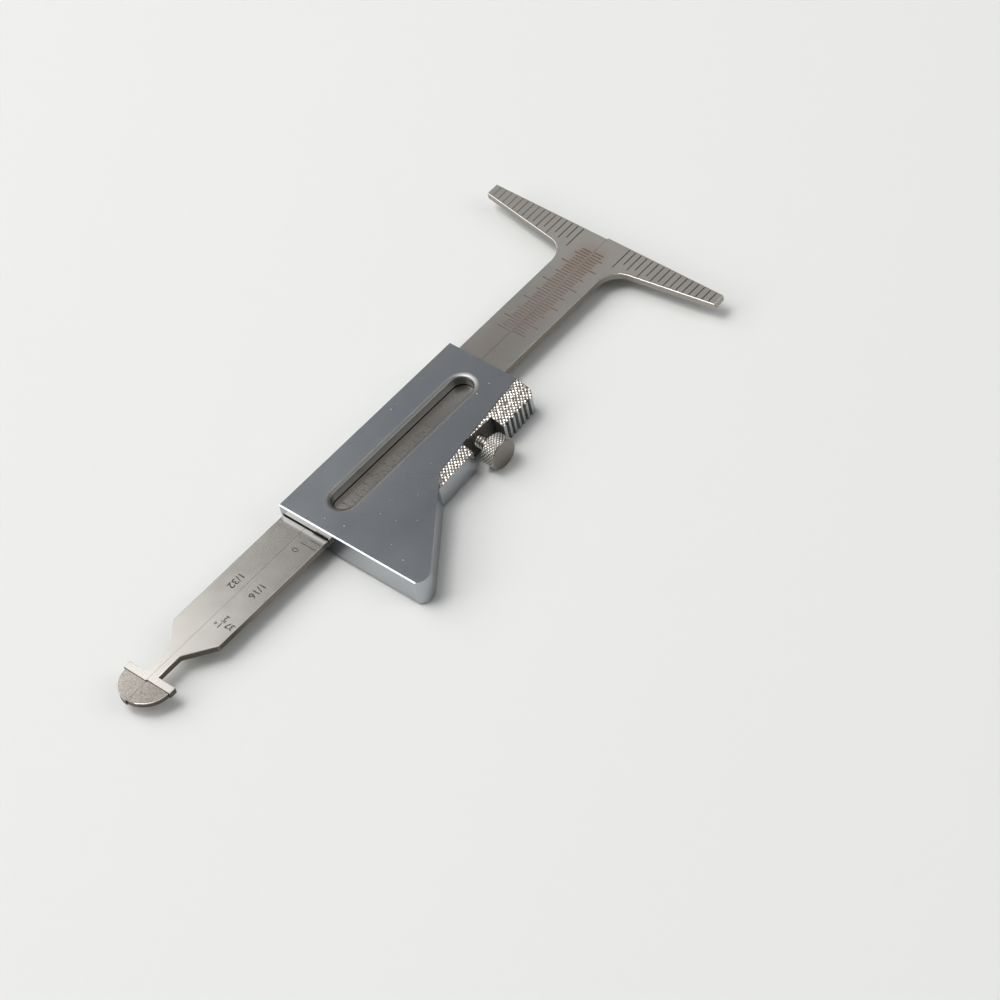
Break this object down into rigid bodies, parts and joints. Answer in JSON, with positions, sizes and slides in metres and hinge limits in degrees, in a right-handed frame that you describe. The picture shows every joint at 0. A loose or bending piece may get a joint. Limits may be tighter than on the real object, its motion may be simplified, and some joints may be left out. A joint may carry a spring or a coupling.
{
  "type": "weld gauge",
  "caption": "Pipe-weld gauge: paired sliding blades with graduated T head and hooked foot, held in a slanted slide body with a window and clamped by a knurled thumb screw.",
  "frame": {"origin": "on the back face of the slide body, where the split between the half-blades meets the measuring base", "axes": "+Y along the shank towards the T head, +Z out of the graduated front, +X towards the slant and the thumb screw"},
  "size_m": [0.0638, 0.1505, 0.0071],
  "materials": {
    "body_steel": "satin",
    "blade_steel": "brushed",
    "screw_steel": "knurled"
  },
  "bodies": {
    "body": {"slide_body": "body_steel"},
    "left": {"left_blade": "blade_steel"},
    "right": {"right_blade": "blade_steel"},
    "screw": {"thumb_screw": "screw_steel"}
  },
  "joints": [
    {"name": "left_blade_slide", "type": "slide", "parent": "body", "child": "left", "axis": [0, 1, 0], "range_m": [-0.0315, 0.045]},
    {"name": "right_blade_slide", "type": "slide", "parent": "body", "child": "right", "axis": [0, 1, 0], "range_m": [-0.0315, 0.045]},
    {"name": "thumb_screw_turn", "type": "hinge", "parent": "body", "child": "screw", "pos_m": [0.01775, 0.038, 0.00295], "axis": [1, 0, 0], "range_deg": [0, 720]}
  ]
}
